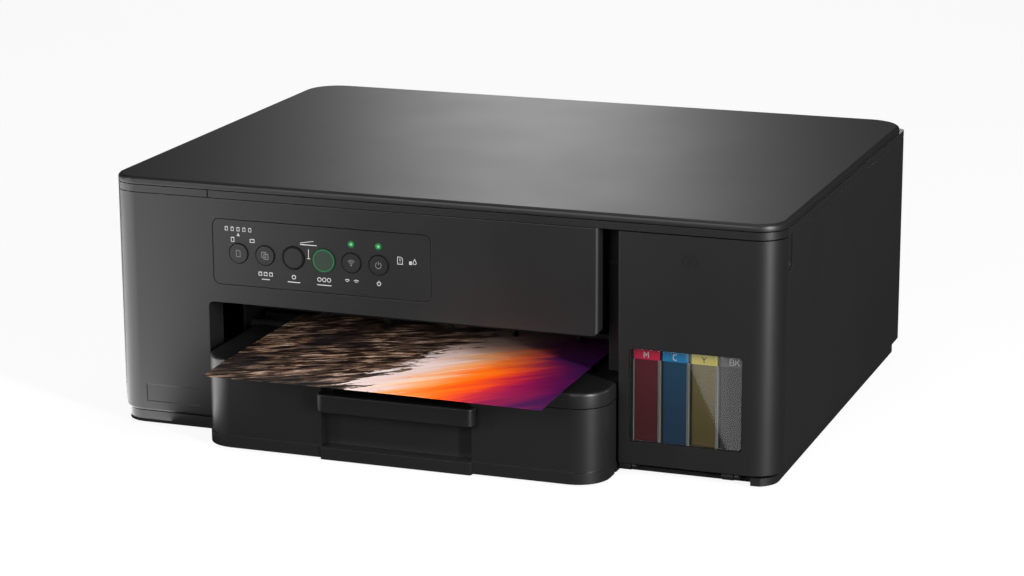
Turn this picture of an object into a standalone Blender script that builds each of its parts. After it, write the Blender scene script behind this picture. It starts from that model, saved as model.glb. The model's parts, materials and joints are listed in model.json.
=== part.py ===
"""Ink-tank all-in-one inkjet printer: flatbed scanner lid, front ink bay, paper cassette.

Sizes are in millimetres. x runs to the right of the printer's middle, y runs back from
the flat front of its casing, and z runs up from the table. place() turns them into metres.
"""

import math

import bmesh
import bpy
from mathutils import Matrix, Vector

for old in list(bpy.data.objects):
    bpy.data.objects.remove(old, do_unlink=True)

# ---------------------------------------------------------------- driving dimensions
MM = 0.001
BODY_W = 435.0  # casing width
BODY_DEPTH = 325.5  # casing front to casing rear
HEIGHT = 162.0  # table to lid top
WALL = 2.5  # casing wall
FIT = 0.4  # gap between touching pieces
CORNER_R = 18.0  # front corners, seen from above
LID_OVERHANG = 3.5  # lid behind the casing
LID_RIM = 4.5
STRIP_H = 4.5  # visible edge of the scanner unit
BASE_BOTTOM = 2.0
BASE_TOP = 9.5
BASE_INSET = 3.0
BAY_W = 99.3  # ink bay at the right of the front
GAP_W = 12.0  # dark recess beside the ink bay
OPENING_GAP = 24.8  # printed sheet to the top of the paper opening
SEAM_Y = 18.5  # where the ink cover meets the side
TRAY_OUT = 28.5  # cassette in front of the casing
TRAY_INSET = 6.1  # paper opening's left edge to the cassette's left side
TRAY_TOP = 48.0
TRAY_COVER_H = 10.0
TRAY_WALL = 2.5
SHEET_W = 216.0
SHEET_L = 279.0
SHEET_LIFT = 3.2  # printed sheet over the tray cover
SHEET_SIDES = 40.3  # how much wider the paper opening is than the sheet
SHEET_OUT = 73.0  # sheet in front of the casing
PANEL_W = 145.2
PANEL_H = 41.4
PANEL_DROP = 12.8  # casing top to panel top
WINDOW_INSET = 6.8  # ink cover's left edge to the window's
WINDOW_W = 70.5
WINDOW_H = 58.0
WINDOW_Z = 22.8
TUB_H = 24.0  # scanner housing below its strip
GLASS_W = 304.0
GLASS_D = 222.0
GLASS_T = 3.0
FRONT_DEPTH = 20.0  # front cover, front to rear
REAR_RETURN = 22.5  # side covers' return round the rear corners
SHELF_REAR = 54.0  # tray cover's rear edge
RAIL_DEPTH = 22.0  # rear carriage rail, front to rear
CARRIAGE_W = 76.0

# ---------------------------------------------------------------- derived places
HALF_W = BODY_W / 2
LID_BOTTOM = HEIGHT - LID_RIM
STRIP_TOP = LID_BOTTOM - FIT
STRIP_BOTTOM = STRIP_TOP - STRIP_H
CASE_TOP = STRIP_BOTTOM - FIT
CASE_BOTTOM = BASE_TOP + FIT
LID_REAR = BODY_DEPTH + LID_OVERHANG
FRONT_Y = -(LID_REAR - SHEET_OUT) / 2  # casing front, with the box's middle at 0
BAY_X = HALF_W - BAY_W
OPENING_R = BAY_X - GAP_W
OPENING_L = OPENING_R - SHEET_W - SHEET_SIDES
TRAY_COVER_TOP = TRAY_TOP + TRAY_COVER_H
SHEET_Z = TRAY_COVER_TOP + SHEET_LIFT
OPENING_TOP = SHEET_Z + OPENING_GAP
TRAY_R = BAY_X - 0.9
TRAY_L = OPENING_L + TRAY_INSET
PAPER_X = (TRAY_L + TRAY_R) / 2
TRAY_REAR = BODY_DEPTH - 40.0
TUB_BOTTOM = STRIP_BOTTOM - TUB_H
TUB_R = HALF_W - 12.5
TUB_REAR = BODY_DEPTH - 25.0
TUB_WALL = 2.5
TUB_FRONT = 21.5
EXIT_Y = 66.0
FEED_Y = 150.0
ROLLER_R = 6.0
ROLLER_Z = SHEET_Z - 0.5 - ROLLER_R
SHAFT_R = 3.0
FRAME_L = OPENING_L - 2.0
FRAME_R = HALF_W - 11.0
FRAME_TOP = TUB_BOTTOM - 16.0
RAIL_WALL_Y = 176.0
SHEET_METAL = 1.6
RAIL_LIP_Y = RAIL_WALL_Y - RAIL_DEPTH
FRONT_RAIL_Y = 56.0
CARRIAGE_HOME = FRAME_R - CARRIAGE_W / 2 - 3.3
WALL_PLATE_L = BAY_X + 0.1
WINDOW_L = BAY_X + WINDOW_INSET
FLOOR = BASE_BOTTOM + WALL + FIT  # underside of what stands inside the base

# ---------------------------------------------------------------- collections, materials
parts = bpy.data.collections.new("inkjet_printer")
helpers = bpy.data.collections.new("cutters")
for group in (parts, helpers):
    bpy.context.scene.collection.children.link(group)
helpers.hide_render = True

COLOURS = {  # red, green, blue, roughness, metallic
    "casing_black": (0.022, 0.022, 0.024, 0.42, 0),
    "lid_black": (0.026, 0.026, 0.028, 0.38, 0),
    "inner_black": (0.012, 0.012, 0.013, 0.6, 0),
    "panel_black": (0.018, 0.018, 0.02, 0.35, 0),
    "button_black": (0.02, 0.02, 0.022, 0.4, 0),
    "rubber_black": (0.015, 0.015, 0.015, 0.9, 0),
    "white_pad": (0.85, 0.85, 0.84, 0.8, 0),
    "scanner_glass": (0.6, 0.68, 0.66, 0.05, 0),
    "window_clear": (0.35, 0.35, 0.36, 0.08, 0),
    "indicator_green": (0.05, 0.75, 0.25, 0.3, 0),
    "ink_magenta": (0.22, 0.012, 0.045, 0.2, 0),
    "ink_cyan": (0.01, 0.075, 0.17, 0.2, 0),
    "ink_yellow": (0.28, 0.25, 0.05, 0.2, 0),
    "ink_black": (0.04, 0.04, 0.04, 0.2, 0),
    "steel": (0.56, 0.57, 0.58, 0.32, 1),
    "grey_plastic": (0.2, 0.2, 0.21, 0.5, 0),
    "white_plastic": (0.72, 0.72, 0.7, 0.5, 0),
    "board_green": (0.02, 0.16, 0.06, 0.5, 0),
    "printed_paper": (0.45, 0.2, 0.14, 0.35, 0),
}


def material(name):
    made = bpy.data.materials.get(name)
    if made is None:
        red, green, blue, roughness, metallic = COLOURS[name]
        made = bpy.data.materials.new(name)
        made.use_nodes = True
        shader = made.node_tree.nodes["Principled BSDF"]
        shader.inputs["Base Color"].default_value = (red, green, blue, 1)
        shader.inputs["Roughness"].default_value = roughness
        shader.inputs["Metallic"].default_value = metallic
    return made


# ---------------------------------------------------------------- shape helpers
AXES = {"x": 0, "y": 1, "z": 2}


def on_sides(item, sides, low, high):
    """True where every corner of an edge lies on each named side, such as '+x-y'."""
    for sign, axis in zip(sides[::2], sides[1::2]):
        at = AXES[axis]
        level = high[at] if sign == "+" else low[at]
        if any(abs(vert.co[at] - level) > 1e-5 for vert in item.verts):
            return False
    return True


def block(low, high, corners=(), rims=()):
    """A box from its two corners. corners round the edge between two sides, and rims
    round all edges of one flat side: each is (sides, radius, steps)."""
    low, high = Vector(low), Vector(high)
    bm = bmesh.new()
    bmesh.ops.create_cube(bm, size=1)
    bmesh.ops.scale(bm, vec=high - low, verts=bm.verts)
    bmesh.ops.translate(bm, vec=(low + high) / 2, verts=bm.verts)
    for sides, radius, steps in corners:
        edges = [e for e in bm.edges if on_sides(e, sides, low, high)]
        bmesh.ops.bevel(bm, geom=edges, offset=radius, segments=steps, profile=0.5,
                        affect="EDGES", clamp_overlap=True)
    for sides, radius, steps in rims:
        axis = AXES[sides[1]]
        edges = [e for e in bm.edges if on_sides(e, sides, low, high)
                 and min(abs(f.normal[axis]) for f in e.link_faces) < 0.9]
        bmesh.ops.bevel(bm, geom=edges, offset=radius, segments=steps, profile=0.5,
                        affect="EDGES", clamp_overlap=True)
    return bm


def rounded(radius):
    """Corners for a block whose four edges along y are rounded."""
    return [(sides, radius, 3) for sides in ("-x-z", "+x-z", "-x+z", "+x+z")]


def drum(centre, radius, length, axis="x", steps=24, radius_end=None):
    """A round bar or disc about an axis, tapering to radius_end if that is given."""
    bm = bmesh.new()
    bmesh.ops.create_cone(bm, cap_ends=True, segments=steps, radius1=radius,
                          radius2=radius if radius_end is None else radius_end, depth=length)
    turn = {"x": Matrix.Rotation(math.pi / 2, 3, "Y"),
            "y": Matrix.Rotation(-math.pi / 2, 3, "X"), "z": Matrix.Identity(3)}[axis]
    bmesh.ops.rotate(bm, cent=(0, 0, 0), matrix=turn, verts=bm.verts)
    bmesh.ops.translate(bm, vec=centre, verts=bm.verts)
    return bm


def outside_corner(x, z, radius, depths, steps=5):
    """What is cut away to round the corner at (x, z) of a wall that lies to its upper left."""
    turns = [-math.pi / 2 * step / steps for step in range(steps + 1)]
    points = [(x - radius + radius * math.cos(turn), z + radius + radius * math.sin(turn))
              for turn in turns]
    points += [(x - radius, z - 1), (x + 1, z - 1), (x + 1, z + radius)]
    bm = bmesh.new()
    face = bm.faces.new([bm.verts.new((px, depths[0], pz)) for px, pz in points])
    made = bmesh.ops.extrude_face_region(bm, geom=[face])
    bmesh.ops.translate(bm, vec=(0, depths[1] - depths[0], 0),
                        verts=[item for item in made["geom"] if isinstance(item, bmesh.types.BMVert)])
    bmesh.ops.recalc_face_normals(bm, faces=bm.faces)
    return bm


def gear(centre, teeth, pitch_r, width):
    """A spur gear about x: one outline of teeth, extruded."""
    tall, deep = 1.1, 1.3
    bm = bmesh.new()
    ring = []
    for tooth in range(teeth):
        for turn, radius in ((0.0, pitch_r - deep), (0.3, pitch_r - deep),
                             (0.42, pitch_r + tall), (0.68, pitch_r + tall)):
            angle = 2 * math.pi * (tooth + turn) / teeth
            ring.append(bm.verts.new((0, radius * math.cos(angle), radius * math.sin(angle))))
    face = bm.faces.new(ring)
    side = bmesh.ops.extrude_face_region(bm, geom=[face])
    moved = [item for item in side["geom"] if isinstance(item, bmesh.types.BMVert)]
    bmesh.ops.translate(bm, vec=(width, 0, 0), verts=moved)
    bmesh.ops.recalc_face_normals(bm, faces=bm.faces)
    bmesh.ops.translate(bm, vec=Vector(centre) - Vector((width / 2, 0, 0)), verts=bm.verts)
    return bm


def place(name, bm, surface, origin=None, smooth=False, group=parts):
    """Makes an object of a shape. origin is its pivot, by default the shape's middle."""
    if origin is None:
        spans = [[v.co[i] for v in bm.verts] for i in range(3)]
        origin = [(min(s) + max(s)) / 2 for s in spans]
    origin = Vector(origin)
    bmesh.ops.translate(bm, vec=-origin, verts=bm.verts)
    bmesh.ops.scale(bm, vec=(MM, MM, MM), verts=bm.verts)
    for face in bm.faces:
        face.smooth = smooth
    mesh = bpy.data.meshes.new(name)
    bm.to_mesh(mesh)
    bm.free()
    made = bpy.data.objects.new(name, mesh)
    made.location = (origin + Vector((0, FRONT_Y, 0))) * MM
    if surface:
        mesh.materials.append(material(surface))
    group.objects.link(made)
    return made


def combine(target, operation, shapes):
    for shape in shapes:
        count = len(target.modifiers)
        tool = place(f"{target.name}.{operation.lower()}.{count}", shape, None, group=helpers)
        tool.hide_render = True
        tool.display_type = "WIRE"
        step = target.modifiers.new(f"{operation.lower()} {count}", "BOOLEAN")
        step.operation = operation
        step.object = tool


def cut(target, *shapes):
    combine(target, "DIFFERENCE", shapes)


def join(target, *shapes):
    combine(target, "UNION", shapes)


def corner_r(inset=0.0):
    return CORNER_R - inset


# ---------------------------------------------------------------- base and casing
def base():
    low_x, high_x = -HALF_W + BASE_INSET, HALF_W - BASE_INSET
    front, rear = 1.5, BODY_DEPTH - BASE_INSET
    floor_top = BASE_BOTTOM + WALL
    radius = corner_r(BASE_INSET)
    made = place("base_chassis", block(
        (low_x, front, BASE_BOTTOM), (high_x, rear, BASE_TOP),
        corners=[("+x-y", radius, 6), ("-x-y", radius, 6), ("+x+y", 6, 3), ("-x+y", 6, 3)]),
        "casing_black")
    cut(made, block((low_x + WALL, front + WALL, floor_top),
                    (high_x - WALL, rear - WALL, BASE_TOP + 1),
                    corners=[("+x-y", radius - WALL, 6), ("-x-y", radius - WALL, 6)]))
    # the cassette slides in over the floor, and the ink cover swings in front of the bay
    cut(made, block((TRAY_L - FIT, front - 1, floor_top), (TRAY_R + FIT, front + 9, BASE_TOP + 1)))
    bay_end = HALF_W - 17.0  # the corner block beside the ink cover starts here
    step_z = BASE_TOP - 2.6
    cut(made, block((TRAY_R, front - 1, BASE_BOTTOM - 1), (bay_end, 10, BASE_TOP + 1)))
    cut(made, block((bay_end - 1, front - 1, step_z), (HALF_W, 24, BASE_TOP + 1)))
    cut(made, block((TRAY_R, 9, COVER_BOTTOM - 2.6), (bay_end, 24, BASE_TOP + 1)))
    # the cover's lower edge swings down in front of the corner
    cut(made, block((bay_end - 1, front - 1, BASE_BOTTOM - 1), (HALF_W, 2.9, BASE_TOP + 1)))
    # two walls carry the ink tanks
    tanks_l, tanks_r = BAY_X + 10, WINDOW_L + WINDOW_W
    for wall_y in (TANK_FRONT + 18, TANK_FRONT + TANK_DEPTH - 8):
        join(made, block((tanks_l, wall_y, floor_top - 1), (tanks_r, wall_y + 3, TANK_LOW - FIT)))
    for lug_x in LUGS_X:
        inner = lug_x + LUG_W + FIT
        join(made, block((inner, LUG_Y, LUG_Z - 1.9), (inner + 3, 12, LUG_Z + 1.9)),
             drum((inner + 1.5, LUG_Y, LUG_Z), 2.1, 2.6, steps=16))
    # rails that guide the cassette
    rail = 4.0
    join(made,
         block((TRAY_L - 1 - rail, 6, floor_top - 1), (TRAY_L - 1, TRAY_REAR - 20, TRAY_TOP - 14)),
         block((OPENING_L + 0.6, 6, floor_top - 1), (TRAY_L - 0.6, 9, TRAY_TOP - 2)))


def feet():
    reach_x, radius = 38.0, 9.0
    for side, x in (("left", -HALF_W + reach_x), ("right", HALF_W - reach_x)):
        for end, y in (("front", 30.0), ("rear", BODY_DEPTH - 34.0)):
            place(f"foot_{end}_{side}", drum((x, y, (BASE_BOTTOM - 0.3) / 2), radius,
                                             BASE_BOTTOM - 0.3, "z", 20, radius + 1),
                  "rubber_black")


def front_cover():
    rear = FRONT_DEPTH
    made = place("front_cover", block(
        (-HALF_W, 0, CASE_BOTTOM), (OPENING_R, rear, CASE_TOP),
        corners=[("-x-y", CORNER_R, 8), ("+x-y", 3, 4)], rims=[("-z", 3.5, 3)]), "casing_black")
    cut(made, block((OPENING_L, -1, CASE_BOTTOM - 1), (OPENING_R + 1, rear + 1, OPENING_TOP),
                    corners=[("-x+z", 3, 3)]))
    cut(made, outside_corner(OPENING_R, OPENING_TOP, 4.0, (-1, rear + 1)))
    cut(made,
        block((-HALF_W + WALL, WALL, CASE_BOTTOM + WALL),
              (OPENING_L - WALL, rear + 1, CASE_TOP - WALL),
              corners=[("-x-y", corner_r(WALL), 8)]),
        block((OPENING_L - WALL - 1, WALL, OPENING_TOP + WALL),
              (OPENING_R - WALL, rear + 1, CASE_TOP - WALL)))
    left, right, low, high = panel_box()
    cut(made, block((left - FIT, -1, low - FIT), (right + FIT, WALL + 1, high + FIT),
                    corners=rounded(PANEL_R + FIT)))
    # recessed name plate: its margins are shares of the leg beside the paper opening
    leg = OPENING_L + HALF_W
    plate_l, plate_r = -HALF_W + 0.322 * leg, OPENING_L - 0.129 * leg
    plate_z, plate_h, plate_deep = 16.6, 11.0, 0.5
    cut(made, block((plate_l, -1, plate_z), (plate_r, plate_deep, plate_z + plate_h)))


def side_covers():
    for name, sign, front in (("left_side_cover", -1, FRONT_DEPTH + FIT),
                              ("right_side_cover", 1, SEAM_Y + FIT)):
        outer, inner = sign * HALF_W, sign * (HALF_W - REAR_RETURN)
        side = "+x+y" if sign > 0 else "-x+y"
        low_x, high_x = min(outer, inner), max(outer, inner)
        made = place(name, block((low_x, front, CASE_BOTTOM), (high_x, BODY_DEPTH, CASE_TOP),
                                 corners=[(side, 5, 4)],
                                 rims=[("-z", 1.6, 2)]), "casing_black")
        wall = sign * (HALF_W - WALL)
        far = sign * (HALF_W - REAR_RETURN - 1)
        cut(made, block((min(wall, far), front - 1, CASE_BOTTOM - 1),
                        (max(wall, far), BODY_DEPTH - WALL, CASE_TOP + 1),
                        corners=[(side, 2.5, 3)]))
        if sign > 0:  # a finger notch for opening the ink cover
            deep, wide, tall = 1.8, 8.6, 22.2
            cut(made, block((HALF_W - deep, front - 1, CASE_TOP - tall),
                            (HALF_W + 1, front + wide, CASE_TOP + 1), corners=[("-z+y", 5, 4)]))


JAM_X, JAM_LOW, JAM_HIGH = 96.0, 22.0, 92.0  # half width, bottom and top of its doorway
JAM_R = 4.0


def rear_covers():
    half, front = HALF_W - REAR_RETURN - FIT, BODY_DEPTH - WALL
    made = place("rear_cover", block((-half, front, CASE_BOTTOM), (half, BODY_DEPTH, CASE_TOP)),
                 "casing_black")
    cut(made, block((-JAM_X, front - 1, JAM_LOW), (JAM_X, BODY_DEPTH + 1, JAM_HIGH),
                    corners=[("-x+z", JAM_R, 3), ("+x+z", JAM_R, 3)]))
    left, right, low, high = inlet_box()
    cut(made, block((left - FIT, front - 1, low - FIT), (right + FIT, BODY_DEPTH + 1, high + FIT)))
    slots, pitch, width = 7, 7.0, 3.0
    for slot in range(slots):
        x = half - 2 * pitch - slot * pitch
        cut(made, block((x, front - 1, JAM_HIGH + 8), (x + width, BODY_DEPTH + 1, JAM_HIGH + 40)))
    # drop-down cover over the paper turn
    door = place("jam_clear_cover", block(
        (-JAM_X + FIT, front - 0.2, JAM_LOW + FIT), (JAM_X - FIT, BODY_DEPTH, JAM_HIGH - FIT),
        corners=[("-x+z", JAM_R - FIT, 3), ("+x+z", JAM_R - FIT, 3)]), "casing_black",
        origin=(0, BODY_DEPTH, JAM_LOW + FIT))
    # paper guide ribs and a finger recess
    rib_x = [step * 0.375 * JAM_X for step in range(-2, 3)]
    join(door, *[block((x - 1, TRAY_REAR + 10, JAM_LOW + 6), (x + 1, front + 0.5, JAM_HIGH - 8),
                       corners=[("-y+z", 16, 4)]) for x in rib_x])
    cut(door, block((-14, BODY_DEPTH - 1.2, JAM_HIGH - 12), (14, BODY_DEPTH + 1, JAM_HIGH - 4)))


INLET_REACH, INLET_W, INLET_H, INLET_Z = 30.0, 23.0, 15.0, 26.0


def inlet_box():
    left = -HALF_W + INLET_REACH
    return left, left + INLET_W, INLET_Z, INLET_Z + INLET_H


def power_inlet():
    x0, x1, z0, z1 = inlet_box()
    made = place("power_inlet", block((x0, BODY_DEPTH - 22, z0), (x1, BODY_DEPTH - FIT, z1),
                                      corners=rounded(5)), "inner_black")
    mid, level, rim = (x0 + x1) / 2, (z0 + z1) / 2, 2.4
    cut(made, block((x0 + rim, BODY_DEPTH - 14, z0 + rim), (x1 - rim, BODY_DEPTH + 1, z1 - rim),
                    corners=rounded(4)))
    pin_r, pin_l, pin_pitch = 1.2, 9.0, 8.6
    join(made, *[drum((mid + s * pin_pitch / 2, BODY_DEPTH - 10, level), pin_r, pin_l, "y", 10)
                 for s in (-1, 1)])


def ink_bay_wall():
    x0, x1 = WALL_PLATE_L, WALL_PLATE_L + WALL
    front, rear, top = SEAM_Y + 0.7, RAIL_WALL_Y + 6, TUB_BOTTOM - 1
    made = place("ink_bay_wall", block((x0, front, FLOOR), (x1, SHELF_REAR, top)), "inner_black")
    join(made, block((x0, SHELF_REAR - 1, FLOOR), (x1, rear, SHEET_Z - 2)),
         block((OPENING_R + FIT, front, TRAY_COVER_TOP + 2), (x1 - 1, front + WALL, top)))
    cut(made, *[drum((x0 + 1, y, ROLLER_Z), SHAFT_R + FIT, 8, steps=20)
                for y in (EXIT_Y, FEED_Y)])


# ---------------------------------------------------------------- scanner and lid
HINGE_Y = BODY_DEPTH + 0.1
HINGE_Z = LID_BOTTOM - 0.15
HINGE_X = HALF_W - 67.5
HINGE_W = 26.0
HINGE_R = 2.8
GLASS_X = -6.0
GLASS_FRONT = 46.0


def lid():
    rear_r = 24.0
    made = place("document_cover", block(
        (-HALF_W, 0, LID_BOTTOM), (HALF_W, LID_REAR, HEIGHT),
        corners=[("+x-y", CORNER_R, 8), ("-x-y", CORNER_R, 8),
                 ("+x+y", rear_r, 8), ("-x+y", rear_r, 8)],
        rims=[("+z", 2.6, 3)]), "lid_black", origin=(0, HINGE_Y, HINGE_Z))
    rim, skin = 3.0, 2.2
    cut(made, block((-HALF_W + rim, rim, LID_BOTTOM - 1), (HALF_W - rim, LID_REAR - rim, HEIGHT - skin),
                    corners=[("+x-y", CORNER_R - rim, 8), ("-x-y", CORNER_R - rim, 8),
                             ("+x+y", rear_r - rim, 8), ("-x+y", rear_r - rim, 8)]))
    for sign in (-1, 1):
        x = sign * HINGE_X
        cut(made, block((x - HINGE_W / 2 - 1, HINGE_Y - HINGE_R - 1, LID_BOTTOM - 1),
                        (x + HINGE_W / 2 + 1, LID_REAR + 1, HINGE_Z + HINGE_R + 0.5)))
    low_x, high_x = GLASS_X - GLASS_W / 2 - 2, GLASS_X + GLASS_W / 2 + 2
    place("cover_backing_pad", block((low_x, GLASS_FRONT - 2, LID_BOTTOM),
                                     (high_x, GLASS_FRONT + GLASS_D + 2, HEIGHT - skin - 0.3)),
          "white_pad", origin=(0, HINGE_Y, HINGE_Z))
    for side, sign in (("left", -1), ("right", 1)):
        x = sign * HINGE_X
        hinge = place(f"lid_hinge_{side}", drum((x, HINGE_Y, HINGE_Z), HINGE_R, HINGE_W, steps=20),
                      "grey_plastic", origin=(x, HINGE_Y, HINGE_Z))
        join(hinge, block((x - HINGE_W / 2 + 0.5, HINGE_Y - 30, LID_BOTTOM + 0.3),
                          (x + HINGE_W / 2 - 0.5, HINGE_Y - 0.6, LID_BOTTOM + 1.9)))


def scanner():
    made = place("scanner_housing", block(
        (-HALF_W, 0, STRIP_BOTTOM), (HALF_W, BODY_DEPTH, STRIP_TOP),
        corners=[("+x-y", CORNER_R, 8), ("-x-y", CORNER_R, 8), ("+x+y", 5, 4), ("-x+y", 5, 4)]),
        "casing_black", origin=(0, BODY_DEPTH, STRIP_BOTTOM - 0.2))
    join(made, block((-TUB_R, TUB_FRONT, TUB_BOTTOM), (TUB_R, TUB_REAR, STRIP_BOTTOM + 1),
                     corners=[("+x-y", 10, 3), ("-x-y", 10, 3)]))
    notch_x = OPENING_L + 1.2
    cut(made, block((notch_x - 0.5, -1, STRIP_BOTTOM - 1), (notch_x + 0.5, 0.7, STRIP_TOP + 1)))
    gx0, gx1 = GLASS_X - GLASS_W / 2, GLASS_X + GLASS_W / 2
    gy0, gy1 = GLASS_FRONT, GLASS_FRONT + GLASS_D
    ledge = 2.5
    glass_top = STRIP_TOP - 0.9
    cut(made,
        block((-TUB_R + TUB_WALL, TUB_FRONT + TUB_WALL, TUB_BOTTOM + TUB_WALL),
              (TUB_R - TUB_WALL, TUB_REAR - TUB_WALL, glass_top - GLASS_T - 0.7)),
        block((gx0 - FIT, gy0 - FIT, TUB_BOTTOM + TUB_WALL + 1),
              (gx1 + FIT, gy1 + FIT, glass_top + 0.3)),
        block((gx0 + ledge, gy0 + ledge, glass_top), (gx1 - ledge, gy1 - ledge, STRIP_TOP + 1)))
    for sign in (-1, 1):
        x = sign * HINGE_X
        cut(made, block((x - HINGE_W / 2 - 1, HINGE_Y - HINGE_R - 0.6, STRIP_BOTTOM - 1),
                        (x + HINGE_W / 2 + 1, BODY_DEPTH + 1, STRIP_TOP + 1)))
    place("scanner_glass", block((gx0, gy0, glass_top - GLASS_T), (gx1, gy1, glass_top)),
          "scanner_glass")
    # reading bar on its rod
    rod_y, rod_z, rod_r = GLASS_FRONT + GLASS_D / 2, TUB_BOTTOM + 7.0, 2.5
    place("scan_guide_rod", drum((0, rod_y, rod_z), rod_r, 2 * (TUB_R - TUB_WALL - FIT), steps=16),
          "steel", smooth=True)
    bar_x, bar_top = gx0 + 6, glass_top - GLASS_T - 1.2
    bar = place("scan_bar", block((bar_x - 7, gy0 - 2, TUB_BOTTOM + 12),
                                  (bar_x + 7, gy1 + 2, bar_top)), "inner_black")
    join(bar, block((bar_x - 14, rod_y - 9, TUB_BOTTOM + TUB_WALL + 0.8),
                    (bar_x + 14, rod_y + 9, TUB_BOTTOM + 13)))
    cut(bar, block((bar_x - 15, rod_y - rod_r - FIT, TUB_BOTTOM),
                   (bar_x + 15, rod_y + rod_r + FIT, rod_z + rod_r + FIT)))


# ---------------------------------------------------------------- control panel
BUTTONS = (  # name, distance from the panel's left end, cap radius
    ("button_paper_size", 17.2, 6.3), ("button_copies", 35.2, 6.3),
    ("button_copy_mono", 54.3, 7.3), ("button_copy_colour", 74.7, 7.3),
    ("button_wifi", 93.1, 6.3), ("button_power", 111.1, 6.3))
BUTTON_DROP = 21.0
INDICATOR_DROP = 9.3
INDICATOR_R = 1.4
PANEL_INSET = 4.2  # paper opening's left edge to the panel's
PANEL_R = 4.0


def panel_box():
    left = OPENING_L + PANEL_INSET
    top = CASE_TOP - PANEL_DROP
    return left, left + PANEL_W, top - PANEL_H, top


def control_panel():
    x0, x1, z0, z1 = panel_box()
    skin = 2.2
    made = place("control_panel", block((x0, 0.1, z0), (x1, 0.1 + skin, z1),
                                        corners=rounded(PANEL_R)), "panel_black")
    level = z1 - BUTTON_DROP
    lights_z = z1 - INDICATOR_DROP
    for name, reach, radius in BUTTONS:
        x = x0 + reach
        cut(made, drum((x, 1, level), radius + 0.35, 8, "y", 24))
        cap = place(name, drum((x, 1.2, level), radius, 3.4, "y", 24), "button_black",
                    origin=(x, 0, level))
        join(cap, drum((x, 3.3, level), radius + 1.1, 1.2, "y", 16))
    light_x = [x0 + reach for name, reach, radius in BUTTONS[4:]]
    cut(made, *[drum((x, 1, lights_z), INDICATOR_R + 0.3, 8, "y", 16) for x in light_x])
    guide = place("indicator_light_guide", block((light_x[0] - 4, 2.8, lights_z - INDICATOR_R),
                                                 (light_x[1] + 4, 4.6, lights_z + 2.6)),
                  "indicator_green")
    join(guide, *[drum((x, 1.6, lights_z), INDICATOR_R, 3.2, "y", 12) for x in light_x])


# ---------------------------------------------------------------- ink bay
COVER_BOTTOM = 8.6
LUG_Y, LUG_Z, LUG_W = 5.0, 6.2, 7.0
LUGS_X = (BAY_X + 1.0, HALF_W - 34.5)
COVER_SWING = math.hypot(SEAM_Y - LUG_Y, COVER_BOTTOM + WALL - LUG_Z)  # its lower shelf
COVER_TOP = LUG_Z + math.sqrt((STRIP_BOTTOM - 0.12 - LUG_Z) ** 2 - (SEAM_Y - LUG_Y) ** 2)
TANK_FRONT = 7.0
TANK_DEPTH = 68.0
TANK_LOW = LUG_Z + COVER_SWING + 0.8
TANK_HIGH = 86.0
TANKS = (  # name, left edge from the window's left edge, width
    ("magenta", 1.4, 16.2), ("cyan", 19.4, 16.0), ("yellow", 37.3, 16.0), ("black", 55.1, 21.0))
NECK_Y = 24.0


def ink_cover():
    pivot = (BAY_X, LUG_Y, LUG_Z)
    made = place("ink_cover", block(
        (BAY_X, 0, COVER_BOTTOM), (HALF_W, SEAM_Y, COVER_TOP),
        corners=[("+x-y", CORNER_R - 0.2, 8), ("-x-y", 2, 3)], rims=[("-z", 2.4, 2)]), "casing_black",
        origin=pivot)
    cut(made, block((BAY_X + WALL, WALL, COVER_BOTTOM + WALL),
                    (HALF_W - WALL, SEAM_Y + 1, COVER_TOP - WALL),
                    corners=[("+x-y", corner_r(WALL), 8)]))
    right, top, radius = WINDOW_L + WINDOW_W, WINDOW_Z + WINDOW_H, 2.5
    cut(made, block((WINDOW_L, -1, WINDOW_Z), (right, WALL + 1, top), corners=rounded(radius)))
    for lug_x in LUGS_X:
        join(made, drum((lug_x + LUG_W / 2, LUG_Y, LUG_Z), 2.6, LUG_W, steps=16),
             block((lug_x, LUG_Y - 2.4, LUG_Z), (lug_x + LUG_W, LUG_Y + 2.4, COVER_BOTTOM + 1.5)))
    place("ink_window", block((WINDOW_L + FIT, 0.7, WINDOW_Z + FIT), (right - FIT, WALL, top - FIT),
                              corners=rounded(radius - FIT)), "window_clear", origin=pivot)


def ink_tanks():
    for name, start, width in TANKS:
        x0 = WINDOW_L + start
        mid = x0 + width / 2
        tank = place(f"ink_tank_{name}", block(
            (x0, TANK_FRONT, TANK_LOW), (x0 + width, TANK_FRONT + TANK_DEPTH, TANK_HIGH),
            rims=[("-y", 1.2, 2)]), f"ink_{name}")
        join(tank, drum((mid, NECK_Y, TANK_HIGH + 3), 5.2, 8, "z", 20))
        seat = TANK_HIGH + 7 + FIT
        hinge_y = NECK_Y + 9.5
        cap = place(f"tank_cap_{name}", drum((mid, NECK_Y, seat + 3), 6.4, 6, "z", 20, 5.8),
                    "grey_plastic", origin=(mid, hinge_y, seat + 1.2))
        join(cap, block((mid - 2.5, NECK_Y + 2, seat), (mid + 2.5, hinge_y, seat + 2)),
             drum((mid, hinge_y, seat + 1.2), 1.2, 9, steps=12))


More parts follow.
